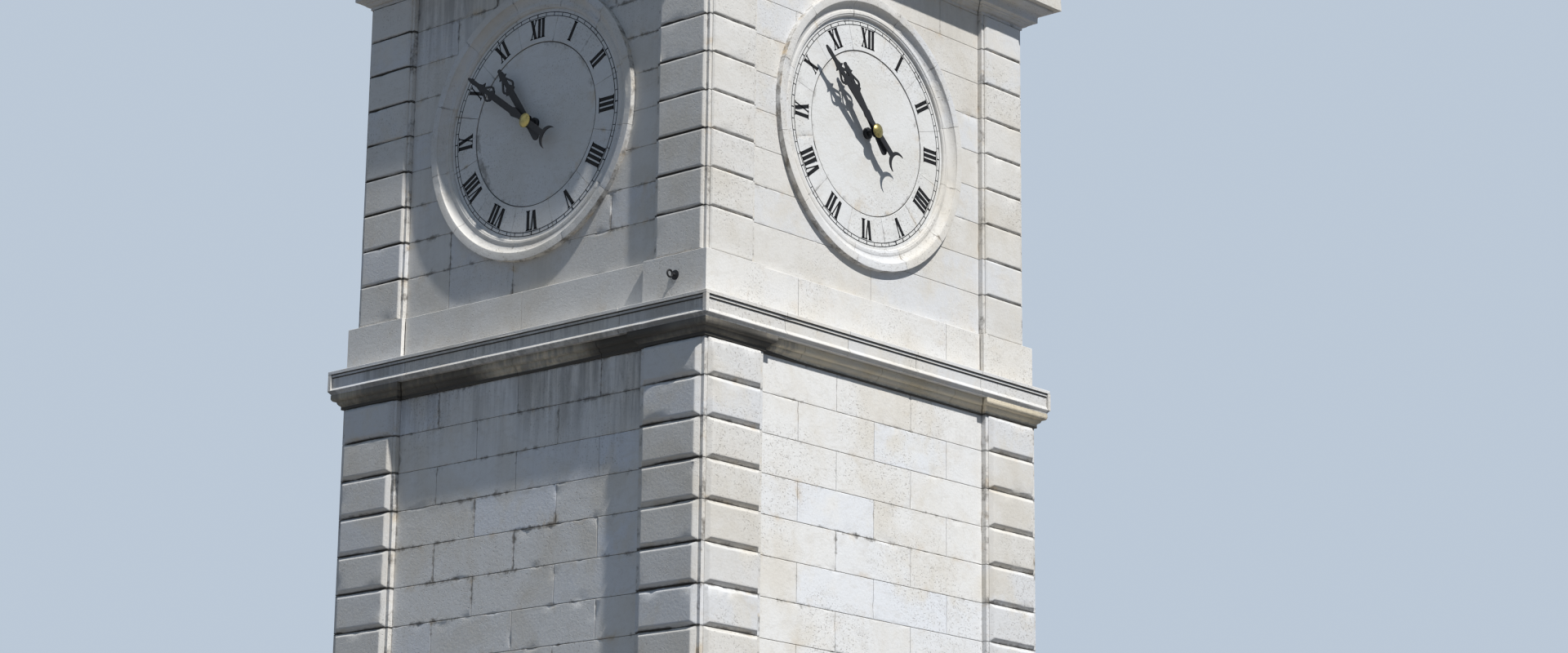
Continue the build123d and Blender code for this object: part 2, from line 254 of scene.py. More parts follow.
class Stonework:
    """Gathers closed blocks, with marks for the material, into one mesh object."""

    def __init__(self):
        self.points = []
        self.faces = []
        self.marks = []
        self.count = 0

    def add(self, points, faces, marks):
        self.points.append(points)
        self.faces += [[self.count + i for i in face] for face in faces]
        self.marks.append(marks)
        self.count += len(points)

    def tube(self, rows, marks=0, hoop=False):
        """A closed tube: rows has one loop of points for each station along it.

        A hoop's last loop joins its first; otherwise both ends are capped. marks is one set
        for each point, or one for all.
        """
        stations, around = rows.shape[:2]
        faces = []
        if not hoop:
            faces = [list(range(around)), list(range((stations - 1) * around, stations * around))]
        for s in range(stations if hoop else stations - 1):
            here = s * around
            after = (s + 1) % stations * around
            for c in range(around):
                right = (c + 1) % around
                faces.append([here + c, here + right, after + right, after + c])
        marks = np.broadcast_to(marks, rows.shape)
        self.add(rows.reshape(-1, 3), faces, marks.reshape(-1, 3))

    def shell(self, grid, back, marks):
        """A closed slab: a grid of points for its face and a flat back at y = back."""
        high, wide = grid.shape[:2]
        faces = []
        for r in range(high - 1):
            for c in range(wide - 1):
                low = r * wide + c
                faces.append([low, low + 1, low + wide + 1, low + wide])
        rim = list(range(wide))
        rim += [r * wide + wide - 1 for r in range(1, high)]
        rim += [(high - 1) * wide + c for c in range(wide - 2, -1, -1)]
        rim += [r * wide for r in range(high - 2, 0, -1)]
        front = grid.reshape(-1, 3)
        behind = front[rim].copy()
        behind[:, 1] = back
        start = len(front)
        for k in range(len(rim)):
            after = (k + 1) % len(rim)
            faces.append([rim[k], rim[after], start + after, start + k])
        faces.append([start + k for k in range(len(rim))])
        flat = marks.reshape(-1, 3)
        self.add(np.vstack((front, behind)), faces, np.vstack((flat, flat[rim])))

    def box(self, low, high, dirt=0.9):
        (x0, y0, z0), (x1, y1, z1) = low, high
        flat = [(x0, y0), (x1, y0), (x1, y1), (x0, y1)]
        rows = np.array([[(x, y, z) for x, y in flat] for z in (z0, z1)])
        self.tube(rows, (0.5, dirt, 0))

    def turned(self, other, angle):
        """Add all of another Stonework, turned about the tower's axis."""
        c = math.cos(math.radians(angle))
        s = math.sin(math.radians(angle))
        spin = np.array(((c, -s, 0), (s, c, 0), (0, 0, 1)))
        self.add(np.vstack(other.points) @ spin.T, other.faces, np.vstack(other.marks))

    def mesh(self, name):
        mesh = bpy.data.meshes.new(name)
        mesh.from_pydata(np.vstack(self.points).tolist(), [], self.faces)
        marks = mesh.attributes.new("marks", "FLOAT_VECTOR", "POINT")
        marks.data.foreach_set("vector", np.vstack(self.marks).astype(np.float32).ravel())
        work = bmesh.new()
        work.from_mesh(mesh)
        bmesh.ops.recalc_face_normals(work, faces=work.faces)
        work.to_mesh(mesh)
        work.free()
        return mesh


def add_object(name, data):
    thing = bpy.data.objects.new(name, data)
    scene.collection.objects.link(thing)
    return thing


def piece(name, mesh, material, replaced=(), crease=32):
    """Put a mesh in the scene as a finished piece of the tower."""
    mesh.name = name
    mesh.polygons.foreach_set("use_smooth", [True] * len(mesh.polygons))
    mesh.set_sharp_from_angle(angle=math.radians(crease))
    thing = add_object(name, mesh)
    mesh.materials.append(material)
    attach(thing, "tower")
    if replaced:
        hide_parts(*replaced)


def stones(node, work, material, crease=32):
    """Put stonework in the scene in place of the CAD node of the same name."""
    piece(f"stones_{node}", work.mesh(node), material, [node], crease)


def cut(mesh, tool):
    """The mesh with the tool mesh taken out of it."""
    target = add_object("target", mesh)
    cutter = add_object("cutter", tool)
    modifier = target.modifiers.new("cut", "BOOLEAN")
    modifier.operation = "DIFFERENCE"
    modifier.solver = "EXACT"
    modifier.object = cutter
    bpy.context.view_layer.update()
    shaped = target.evaluated_get(bpy.context.evaluated_depsgraph_get())
    result = bpy.data.meshes.new_from_object(shaped)
    bpy.data.objects.remove(target)
    bpy.data.objects.remove(cutter)
    return result


def drill(radius, back=-1, segments=128):
    """A cylinder on the front dial's axis, from before the wall to y = back, to cut with."""
    before_wall = -3
    angles = np.linspace(0, 2 * np.pi, segments, endpoint=False)
    rows = np.array([
        [(radius * math.cos(a), y, DIAL_Z + radius * math.sin(a)) for a in angles]
        for y in (before_wall, back)
    ])
    tool = Stonework()
    tool.tube(rows)
    return tool.mesh("tool")


# Walls of coursed stones

Wall = namedtuple("Wall", "face inner front foot top back runs")


def lower_runs(face, u, below):
    """Dark water at a distance below the string course, heaviest beside one pier."""
    beside_pier = 0.55 + 0.45 * np.clip((u + 0.4) / 1.6, 0, 1)
    return LOWER_RUNS[face] * beside_pier * fade(below, 1.2)


def clock_runs(face, u, below):
    """Dark water at a distance below the top cornice, alike all along the wall."""
    return CLOCK_RUNS[face] * (0.3 + 0.7 * fade(below, 0.9))


def wall_of(face, runs, node):
    """The wall of a face: half its width, and where its front, foot, top and back are."""
    low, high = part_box(node)
    return Wall(face, high[0], -low[1], low[2], high[2], high[1], runs)


def grid_lines(low, high):
    """Grid lines of a stone: close together at its edges and even between them."""
    edge = np.array(EDGE_LINES)
    count = max(2, round((high - low) / GRID))
    inner = np.linspace(low + edge[-1], high - edge[-1], count)
    return np.concatenate((low + edge[:-1], inner, (high - edge[:-1])[::-1]))


def wall_stone(work, wall, u0, u1, z0, z1):
    """One facing stone of the front, between two upright and two level joints."""
    us = grid_lines(u0 + JOINT / 2, u1 - JOINT / 2)
    zs = grid_lines(z0 + JOINT / 2, z1 - JOINT / 2)
    u, z = np.meshgrid(us, zs)
    edge = np.minimum(np.minimum(u - us[0], us[-1] - u), np.minimum(z - zs[0], zs[-1] - z))
    points = np.stack((u, np.full(u.shape, -wall.front), z), axis=-1)
    seed = list(FACES).index(wall.face)
    where = points + seed * 7.3
    weak = weakness(wall.face, u, z)
    surface = 0.0006 * noise(where, 0.3, 5)
    points[..., 1] += worn_arris(edge) + chips(where, edge, 11, weak=weak) + surface
    tone = tone_of(round(u0 * 100), round(z0 * 100), seed)
    patchy = 0.35 + 0.65 * np.clip(noise(where, 0.5, 7) + 0.3, 0, 1)
    dirt = fade(edge, 0.05) * np.clip((patchy + weak) * SOIL_AND_SHADE[wall.face], 0, 0.9)
    marks = marked(tone, dirt, wall.runs(wall.face, u, wall.top - z))
    work.shell(points, -wall.front + STONE_DEPTH, marks)


def course_joints(course):
    """Upright joints of one course; every second course is shifted by half a stone."""
    if course % 2:
        return (-STONE_LENGTH / 2, STONE_LENGTH / 2)
    return (-STONE_LENGTH, 0, STONE_LENGTH)


def coursed_wall(wall, levels, first, lowest=()):
    """All stones of one wall; first says how the lowest course is jointed, unless lowest does."""
    work = Stonework()
    for course, (low, high) in enumerate(zip(levels, levels[1:])):
        joints = lowest if lowest and course == 0 else course_joints(course + first)
        edges = (-wall.inner, *joints, wall.inner)
        for u0, u1 in zip(edges, edges[1:]):
            wall_stone(work, wall, u0, u1, low, high)
    return work


def add_mortar(work, wall):
    """The body of mortar and rubble behind the facing stones."""
    near = (-wall.inner, -wall.front + MORTAR_DEPTH, wall.foot)
    work.box(near, (wall.inner, wall.back, wall.top), dirt=1.0)


def lower_levels():
    """Heights of the joints of the lower stage."""
    low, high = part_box("lower_wall_front")
    return [low[2] + LOWER_COURSE * k for k in range(LOWER_COURSES + 1)] + [high[2]]


def clock_levels():
    """Heights of the joints of the clock stage."""
    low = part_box("clock_wall_front")[0][2]
    second = low + CLOCK_FIRST_COURSE
    return [low] + [second + CLOCK_COURSE * k for k in range(CLOCK_COURSES + 1)]


def lower_walls(stone):
    for face, angle in FACES.items():
        wall = wall_of(face, lower_runs, "lower_wall_front")
        first = 1 if face in ("front", "back") else 0
        work = coursed_wall(wall, lower_levels(), first)
        add_mortar(work, wall)
        turned = Stonework()
        turned.turned(work, angle)
        stones(f"lower_wall_{face}", turned, stone)


def clock_walls(stone):
    for face, angle in FACES.items():
        wall = wall_of(face, clock_runs, "clock_wall_front")
        first = 1 if face == "left" else 0
        facing = coursed_wall(wall, clock_levels(), first, LOWEST_JOINTS[face])
        facing = cut(facing.mesh("facing"), drill(UNDER_SURROUND))
        core = Stonework()
        add_mortar(core, wall)
        ring_back = min(abs(ring_low[1]), wall.front) - RING_DEPTH
        core = cut(core.mesh("core"), drill(RING_OUTER, -ring_back))
        core = cut(core, drill(SHAFT_HOLE, segments=32))
        whole = bmesh.new()
        whole.from_mesh(facing)
        whole.from_mesh(core)
        whole.transform(Matrix.Rotation(math.radians(angle), 4, "Z"))
        mesh = bpy.data.meshes.new("wall")
        whole.to_mesh(mesh)
        whole.free()
        node = f"clock_wall_{face}"
        piece(f"stones_{node}", mesh, stone, [node])


# Corner piers of bevelled blocks


def lines_across(near, length):
    """Lines near one end, even lines between, and the same near lines at the other end."""
    far = [length - d for d in reversed(near)]
    count = max(2, round((far[0] - near[-1]) / PIER_GRID))
    inner = np.linspace(near[-1], far[0], count + 1)[1:-1]
    return np.array(near + list(inner) + far)


def pad_lines(width, margin, bevel):
    """Distances across a pier face, with the pad's edge given twice, for its square step."""
    near = [0, 0.003, margin * 0.5, margin, margin]
    near += [margin + bevel * part for part in (0.33, 0.66)]
    near += [margin + bevel - 0.002, margin + bevel + 0.003, margin + bevel + 0.014]
    lines = lines_across(near, width)
    on_pad = np.zeros(len(lines), bool)
    on_pad[4:-4] = True
    return lines, on_pad


def block_rows(height, bevel):
    """Heights of the grid lines of a pier block."""
    near = [0, 0.0015, bevel * 0.33, bevel * 0.66, bevel - 0.002, bevel + 0.003, bevel + 0.014]
    return lines_across(near, height)


def pad_relief(where, to_end, to_joint, on_pad, pad):
    """How far a block's face stands out: a margin, a square step, a bevel and a flat pad."""
    margin, step, bevel = pad
    edge = smooth_min(to_end - margin, to_joint, 0.003)
    rise = step + smooth_min(edge, np.full(edge.shape, bevel), 0.004)
    rise -= chips(where, np.abs(edge - bevel), 17, reach=0.035, depth=0.014)
    rise = np.where(on_pad, np.maximum(rise, step * 0.3), 0)
    return rise - worn_arris(to_joint) + 0.0007 * noise(where, 0.25, 9)


def pad_marks(where, to_joint, on_pad, bevel, tone, soil_and_shade):
    """Marks of a block's face: stained bevels, and black beside the joints, as grime and as painted
    shade in the groove.
    """
    stain = np.clip(noise(where, 0.35, 21) + 0.35, 0, 1)
    in_groove = fade(to_joint, bevel * 1.1)
    dirt = np.where(on_pad, in_groove * (0.55 + 0.45 * stain), 0.35 + 0.4 * stain)
    # painted shade: black within 16 mm of each joint, for the shade in the groove as well as grime,
    # more on the more soiled faces
    grime_and_shade = 2.4 * fade(to_joint, 0.016) * soil_and_shade * np.clip(noise(where, 0.22, 23) + 0.75, 0, 1)
    return marked(tone, dirt, grime_and_shade)


def pier_block(work, half, width, low, high, pad, corner, course):
    """One block of the front left corner pier, with a bevelled pad on its two outer faces.

    corner counts against the clock from the front left, for the wear of the real corner.
    """
    seed = corner * 40 + course
    margin, _, bevel = pad
    height = high - low - JOINT
    lines, on_pad = pad_lines(width, margin, bevel)
    rows = block_rows(height, bevel)
    d, z = np.meshgrid(lines, rows)
    level = low + JOINT / 2 + z
    to_end = np.minimum(d, width - d)
    to_joint = np.minimum(z, height - z)
    tone = tone_of(seed, round(low * 100), 5)
    sides = []
    for side in (0, 1):
        where = np.stack((d, level, np.full(d.shape, seed * 3.1 + side)), axis=-1)
        soil_and_shade = SOIL_AND_SHADE[("front", "right", "back", "left")[(corner - side) % 4]]
        out = pad_relief(where, to_end, to_joint, on_pad, pad)
        sides.append((out, pad_marks(where, to_joint, on_pad, bevel, tone, soil_and_shade)))
    (front_out, front_marks), (left_out, left_marks) = sides
    front = np.stack((-half + d, -half - front_out, level), axis=-1)
    left = np.stack((-half - left_out, -half + d, level), axis=-1)
    front[:, 0, :2] = -half + 0.0015  # the block's outer corner is a little rounded
    inner = np.full(len(rows), -half + width)
    inner_corner = np.stack((inner, inner, level[:, 0]), axis=-1)[:, None]
    loop = np.concatenate((front, inner_corner, left[:, :0:-1]), axis=1)
    marks = np.concatenate((front_marks, front_marks[:, -1:], left_marks[:, :0:-1]), axis=1)
    work.tube(loop, marks)


def corner_piers(node, half, width, levels, pad, stone):
    work = Stonework()
    for corner in range(4):
        pier = Stonework()
        for course, (low, high) in enumerate(zip(levels, levels[1:])):
            pier_block(pier, half, width, low, high, pad, corner, course)
        near = MORTAR_DEPTH - half
        far = width - half - 0.004
        pier.box((near, near, levels[0]), (far, far, levels[-1]))
        work.turned(pier, 90 * corner)
    stones(node, work, stone)


# Mouldings


def pier_path(half, sink=0, pier=0):
    """Plan of a moulding that steps forward over the corner piers, against the clock."""
    side = [(-half, -half)]
    if sink:
        side += [(pier - half, -half), (pier - half, sink - half)]
        side += [(half - pier, sink - half), (half - pier, -half)]
    path = []
    for c, s in ((1, 0), (0, 1), (-1, 0), (0, -1)):
        path += [(x * c - y * s, x * s + y * c) for x, y in side]
    return path


def neighbours(points):
    """Each point of a closed line with the ones before and after it."""
    count = len(points)
    for i in range(count):
        yield tuple(np.array(points[(i + k) % count]) for k in (-1, 0, 1))


def stations_between(path, clear, spacing=0.11):
    """Points along the closed plan with the direction in which a moulding grows outwards.

    The points keep a clear distance from each corner, so that the section never folds there.
    """
    stations = []
    for before, here, after in neighbours(path):
        leaving = after - here
        length = np.linalg.norm(leaving)
        normals = []
        for way in (here - before, leaving):
            way = way / np.linalg.norm(way)
            normals.append(np.array((way[1], -way[0])))
        stations.append((here, normals[0] + normals[1], True))
        if length > 2 * clear:
            steps = max(1, round((length - 2 * clear) / spacing))
            for k in range(steps + 1):
                along = clear + (length - 2 * clear) * k / steps
                stations.append((here + leaving * along / length, normals[1], False))
    return stations


def soften(profile, radius):
    """Replace each corner of a profile by two points, as a worn edge."""
    result = []
    for before, here, after in neighbours(profile):
        for other in (before, after):
            way = other - here
            length = np.linalg.norm(way)
            result.append(here + way / length * min(radius, length * 0.35))
    return result


def arc(start, through, end, steps=5):
    """Points of the arc through three points, without its start."""
    a, b, c = (complex(*point) for point in (start, through, end))
    part = (c - a) / (b - a)
    middle = a + (b - a) * (part - abs(part) ** 2) / (2j * part.imag)
    turn = cmath.phase((b - middle) / (a - middle)) + cmath.phase((c - middle) / (b - middle))
    points = [middle + (a - middle) * cmath.exp(1j * turn * k / steps) for k in range(1, steps + 1)]
    return [(point.real, point.imag) for point in points]


def closed_section(side, inside=REACH):
    """Close the visible side of a profile with a flat back that lies inside the tower."""
    return side + [(-inside, side[-1][1]), (-inside, side[0][1])]


def stone_ends(stations, half, joints):
    """The stations where one length of a moulding ends and the next begins.

    joints are places along each side, measured from its middle; the lengths also part where
    the moulding steps back beside a pier.
    """
    ends = []
    for i, (point, _, corner) in enumerate(stations):
        x, y = point
        along = x if abs(y) > abs(x) else y
        here = joints[side_of(x, y)] if isinstance(joints, dict) else joints
        beside_pier = corner and max(abs(x), abs(y)) < half - 0.001
        at_joint = not corner and min(abs(along - joint) for joint in here) < 0.055
        if beside_pier or at_joint:
            ends.append(i)
    return [end for k, end in enumerate(ends) if k == 0 or end - ends[k - 1] > 2]


def swept(run, section, base):
    """Points of one length of a moulding, a little shorter than its run at each open end."""
    points = []
    for n, (point, away, corner) in enumerate(run):
        gap = MITRE if corner else JOINT
        shift = np.zeros(2)
        for end, inward in ((0, 1), (len(run) - 1, -2)):
            if n == end:
                way = run[inward][0] - point
                shift = way / np.linalg.norm(way) * gap / 2
        place = point + shift
        points.append([(*(place + away * out), base + up) for out, up in section])
    return np.array(points)


def moulding_grime_and_shade(run, ups, where, half, black, sooty, corner_soot):
    """Black grime, soot and painted shade on one length of a moulding; see moulding for the black
    steps, the sooty parts and the corner soot.
    """
    grime_and_shade = np.zeros(len(ups))
    # painted shade: the listed steps are painted black, for the shade in them as well as black grime
    for level in black:
        grime_and_shade[np.abs(ups - level) < 0.006] = 2
    soil_and_shade = np.array([SOIL_AND_SHADE[side_of(*point)] for point, _, _ in run])[:, None]
    soot = np.zeros(where.shape[:2])
    # painted shade: these parts are darker on the faces more soiled than the front, as soot and as
    # the shade they lie in
    for low, high, amount in sooty:
        inside = (ups > low) & (ups < high) & (grime_and_shade == 0)
        soot += np.where(inside, (soil_and_shade - SOIL_AND_SHADE["front"]) * amount, 0)
    soot = soot * (0.7 + 0.2 * noise(where, 0.5, 43))
    # painted shade: the front left corner is darkened as soot and as the shade of the overhang there
    from_corner = np.array([np.hypot(*(point + half)) for point, _, _ in run])[:, None]
    near_corner = np.clip((1.35 - from_corner) / 0.5, 0, 1)
    soot = np.maximum(soot, corner_soot * near_corner * (1 + 0.15 * noise(where, 0.15, 45)))
    return grime_and_shade + soot


def moulding(work, path, profile, base, joints, seed, dirt=0.5, black=(), sooty=(), corner_soot=0.0):
    """A moulding round the tower in separate lengths of stone.

    profile is its closed section, as (out, up); the black steps are the heights of the section's
    steps painted black, as black grime and the shade in them; the sooty parts have the lowest and
    highest level of each part that is darker on the soiled faces, and how dark, as soot and painted
    shade; the corner soot is how dark the front left corner is painted, as soot and painted shade.
    """
    stations = stations_between(path, max(abs(out) for out, _ in profile) + 0.01)
    half = max(abs(x) for x, _ in path)
    section = soften(profile, ARRIS)
    outs, ups = np.array(section).T
    # the dirt mark is heavier on the parts of the section that lie further back and near its foot
    set_back = fade(outs - outs.min(), max(outs.max() - outs.min(), 0.01))
    low_part = fade(ups - ups.min(), 0.12)
    set_back_and_low = 0.3 + 0.5 * set_back + 0.2 * low_part
    ends = stone_ends(stations, half, joints)
    for k, start in enumerate(ends):
        end = ends[(k + 1) % len(ends)]
        if end <= start:
            end += len(stations)
        run = [stations[i % len(stations)] for i in range(start, end + 1)]
        points = swept(run, section, base)
        where = points + seed * 5.1
        wear = 0.0012 * noise(where, 0.2, 31) + chips(where, np.full(where.shape[:2], 0.012), 37)
        wear *= outs > outs.min() + 0.01
        outward = np.array([away for _, away, _ in run])[:, None, :]
        points[..., :2] -= outward * wear[..., None]
        patchy = 0.5 + 0.5 * np.clip(noise(where, 0.4, 41) + 0.4, 0, 1)
        grime_and_shade = moulding_grime_and_shade(run, ups, where, half, black, sooty, corner_soot)
        work.tube(points, marked(tone_of(seed, k, 7), dirt * set_back_and_low * patchy, grime_and_shade))


def moulded(node, stone, path, side, joints, seed, inside=REACH, crease=20, **weather_and_shade):
    """Rebuild a CAD moulding in stone; side is the visible part of its section, (out, up)."""
    work = Stonework()
    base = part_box(node)[0][2]
    moulding(work, path, closed_section(side, inside), base, joints, seed, **weather_and_shade)
    stones(node, work, stone, crease)


def base_plinth(stone):
    low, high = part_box("base_plinth")
    out = 0.09
    path = pier_path(-low[0] - out)
    work = Stonework()
    foot = [(out, 0), (out, 0.27)]
    moulding(work, path, closed_section(foot), 0, (-1.6, -0.55, 0.55, 1.6), 61, 0.9)
    slope = [(out, 0.274), (out, high[2] - 0.07), (0, high[2])]
    moulding(work, path, closed_section(slope), 0, (-1.1, 0, 1.1), 62, 0.6)
    stones("base_plinth", work, stone)


def string_bed_mould(stone):
    """Bed moulding under the string course, painted blackest at the front left corner, as soot and as
    the shade there.
    """
    side = [(0.020, 0), (0.020, 0.035)]
    side += arc((0.020, 0.035), (0.038, 0.047), (0.052, 0.079))
    side += arc((0.052, 0.079), (0.088, 0.093), (0.094, 0.123))
    side += [(0.094, 0.145)]
    path = pier_path(LOWER_HALF, LOWER_SINK, LOWER_PIER)
    # painted shade: a black line at the joint at its foot, and the whole moulding darker on the faces
    # more soiled than the front and darkest at the front left corner, as soot and as the shade it
    # lies in
    moulded("string_bed_mould", stone, path, side, (-1.05, 0.02, 1.1), 63, dirt=0.45,
            black=(0,), sooty=((0.003, 0.2, 2.6),), corner_soot=1.6)


def string_course(stone):
    """Corona with a sunk panel: a ledge that catches the light below, two fine steps above."""
    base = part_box("string_course")[0][2]
    face = 0.118
    top = 0.235
    sunk = face - 0.026
    strip = face - 0.014
    under = face - 0.024
    upper_step = top - 0.036
    lower_step = top - 0.065
    side = [(under, 0), (under, 0.008), (face, 0.034), (face, 0.042)]
    side += [(sunk, 0.072), (sunk, 0.084), (sunk, top - 0.075), (sunk, lower_step)]
    side += [(strip, lower_step), (strip, top - 0.055), (strip, top - 0.046), (strip, upper_step)]
    side += [(face, upper_step), (face, top - 0.026), (face, top), (-0.010, top + 0.026)]
    work = Stonework()
    # painted shade: the two fine steps are painted black, for the shade under their lips as well as
    # grime, and on the faces more soiled than the front the underside and the sunk panel are
    # darkened, as soot and painted shade
    sooty = ((-0.01, 0.040, 1.9), (0.080, top - 0.045, 1.1))
    moulding(work, pier_path(LOWER_HALF), closed_section(side), base, (-1.45, -0.5, 0.45, 1.45), 64,
             dirt=0.55, black=(upper_step, lower_step), sooty=sooty)
    end = LOWER_HALF + face - 0.0005
    for corner in range(4):
        post = Stonework()
        near = (-end, -end, base + 0.036)
        far = (-end + 0.040, -end + 0.040, base + top - 0.034)
        post.box(near, far, 0.3)
        work.turned(post, 90 * corner)
    stones("string_course", work, stone, 20)


def clock_plinth(stone):
    low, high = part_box("clock_plinth")
    tall = high[2] - low[2]
    side = [(0, 0), (0, tall - 0.006), (-0.067, tall)]
    path = pier_path(high[0], CLOCK_SINK, LOWER_PIER)
    moulded("clock_plinth", stone, path, side, PLINTH_JOINTS, 65, dirt=0.35)


def cornice(stone):
    side = [(0.012, 0), (0.012, 0.030)]
    side += arc((0.012, 0.030), (0.038, 0.034), (0.060, 0.058))
    side += [(0.084, 0.061), (0.084, 0.072), (0.100, 0.080), (0.126, 0.082), (0.126, 0.130)]
    side += arc((0.126, 0.130), (0.140, 0.160), (0.180, 0.168))
    side += [(0.240, 0.200), (0.240, 0.220)]
    path = pier_path(CLOCK_HALF, CLOCK_SINK, CLOCK_PIER)
    moulded("cornice_bed_mould", stone, path, side, (-1.0, 0.05, 1.05), 66, dirt=0.8)

    low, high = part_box("cornice")
    tall = high[2] - low[2]
    side = [(0, 0), (0, tall - 0.060), (-0.018, tall - 0.060), (-0.018, tall)]
    under_parapet = high[0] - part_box("parapet")[1][0] + 0.20
    moulded("cornice", stone, pier_path(high[0]), side, (-1.5, -0.5, 0.5, 1.5), 67, under_parapet)


# Parapet and roof


def parapet(stone):
    low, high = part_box("parapet")
    side = [(0, 0), (0, high[2] - low[2])]
    moulded("parapet", stone, pier_path(high[0]), side, (-1.2, 0, 1.2), 68, 0.320, crease=32)


def roof(slabs):
    """Four slopes of lapped slabs on a ring of stones at the eaves."""
    low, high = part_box("roof")
    half = high[0]
    eave = 0.120
    eave_top = low[2] + eave
    slope = (high[2] - low[2] - eave) / half
    work = Stonework()
    plate = [(0.02, 0), (0.02, slope * 0.07), (-0.36, slope * 0.45), (-0.36, 0)]
    moulding(work, pier_path(half - 0.09), plate, low[2], (-1.5, -0.5, 0.5, 1.5), 69)
    bands = 6
    depth = half / bands
    for corner in range(4):
        front = Stonework()
        for band in range(bands):
            near = depth * band
            joints = np.arange(-3.5, 3.6, 1.0) + 0.5 * (band % 2)
            for x0, x1 in zip(joints, joints[1:]):
                corners = [(x0, near), (x1, near), (x1, near + depth), (x0, near + depth)]
                tone = tone_of(round(x0 * 10), band, 3)
                roof_slab(front, corners, half, slope, eave_top, tone)
        work.turned(front, 90 * corner)
    piece("slabs_roof", work.mesh("roof"), slabs, ["roof"])


def between_hips(corners, half):
    """The part of an outline on the front slope, as (x, distance up it), between its hips."""
    for sign in (-1, 1):
        kept = []
        for (ax, ad), (bx, bd) in zip(corners, corners[1:] + corners[:1]):
            a_over = sign * ax - (half - ad - JOINT / 3)
            b_over = sign * bx - (half - bd - JOINT / 3)
            if a_over <= 0:
                kept.append((ax, ad))
            if a_over * b_over < 0:
                part = a_over / (a_over - b_over)
                kept.append((ax + (bx - ax) * part, ad + (bd - ad) * part))
        if len(kept) < 3:
            return []
        corners = kept
    return corners


def roof_slab(work, corners, half, slope, eave_top, tone):
    """One slab of the front slope, lower at its foot, where it laps over the next."""
    near, far = corners[0][1], corners[2][1]
    corners = between_hips(corners, half)
    if not corners or max(x for x, _ in corners) - min(x for x, _ in corners) < 0.05:
        return
    middle = np.mean(corners, axis=0)
    thick = 0.10
    lap = 0.014
    rows = []
    for drop, inset in ((thick, 0.002), (0.006, 0.002), (0, 0.009)):
        loop = []
        for corner in corners:
            way = middle - corner
            x, d = np.array(corner) + way / np.linalg.norm(way) * inset
            up = eave_top + slope * d - lap * (d - near) / (far - near) - drop
            loop.append((x, -half + d, up))
        rows.append(loop)
    rows = np.array(rows)
    work.tube(rows, (tone, 0.3, 0))


# Dials


def dial_points(radius, angle, out, z=DIAL_Z, plane=DIAL_PLANE):
    """Points on the front dial; angle is clockwise from twelve, out is towards the viewer."""
    return np.stack((radius * np.sin(angle), -(plane + out), z + radius * np.cos(angle)), axis=-1)


def ring_stone(work, start, end, section, seed, joint=0.003):
    """One curved stone of a ring, from one angle to the next; section is (radius, out)."""
    section = soften(section, 0.0025)
    radii, outs = np.array(section).T
    middle = sum(radii) / len(radii)
    gap = joint / 2 / middle
    count = max(3, round((end - start) * middle / 0.035))
    angles = np.linspace(start + gap, end - gap, count)
    angle, radius = np.meshgrid(angles, radii, indexing="ij")
    out = np.broadcast_to(outs, radius.shape).copy()
    where = dial_points(radius, angle, out, 0, seed * 2.7)
    ends = np.minimum(angle - angles[0], angles[-1] - angle) * middle
    wear = chips(where, ends + 0.004, 51, 0.03, 0.006) + 0.0006 * noise(where, 0.15, 53)
    wear += chips(where, np.full(ends.shape, 0.014), 55, 0.03, 0.006)
    out = out - np.where(out > outs.min() + 0.01, wear, 0)
    dirt = fade(ends, 0.03) * 0.6
    dirt = np.where(radius > radii.max() - 0.002, 0.75, dirt)
    tone = tone_of(seed, round(start * 100), 9)
    work.tube(dial_points(radius, angle, out), marked(tone, dirt, 0 * dirt))


def surround_section():
    """Moulded section of the round frame, (radius, out from the numeral plane)."""
    sink = -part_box("clock_wall_front")[0][1] - DIAL_PLANE
    top = sink + 0.058
    back = sink - 0.004
    inner, outer = SURROUND_INNER, SURROUND_OUTER
    section = [(inner, 0.0), (inner, 0.008)]
    section += arc((inner, 0.008), (inner + 0.0065, 0.0235), (inner + 0.022, 0.030), 6)
    section += [(inner + 0.027, 0.030), (inner + 0.027, 0.036), (inner + 0.056, 0.036)]
    section += arc((inner + 0.056, 0.030), (1.2396, 0.044), (1.2740, 0.0785), 10)
    section += [(1.2745, top - 0.003), (1.280, top), (outer - 0.003, top), (outer, top - 0.004)]
    return section + [(outer, back), (RING_OUTER + 0.002, back), (RING_OUTER + 0.002, 0.0)]


def dial_surround(seed):
    work = Stonework()
    joints = np.radians(SURROUND_JOINTS)
    for start, end in zip(joints, [*joints[1:], joints[0] + 2 * np.pi]):
        ring_stone(work, start, end, surround_section(), seed + 3)
    return work


def numeral_ring(face, seed):
    """Twelve hour stones; the joints beside the IX of the left dial have opened."""
    work = Stonework()
    back = -0.11
    inner = RING_INNER + 0.003
    outer = RING_OUTER - 0.0005
    section = [(inner, back), (inner, 0), (0.9, 0), (1.0, 0), (1.07, 0), (outer, 0), (outer, back)]
    for hour in range(12):
        start = math.radians(30 * hour - 15)
        joint = 0.008 if hour == 9 and face == "left" else 0.003
        ring_stone(work, start, start + math.radians(30), section, seed, joint)
    return work


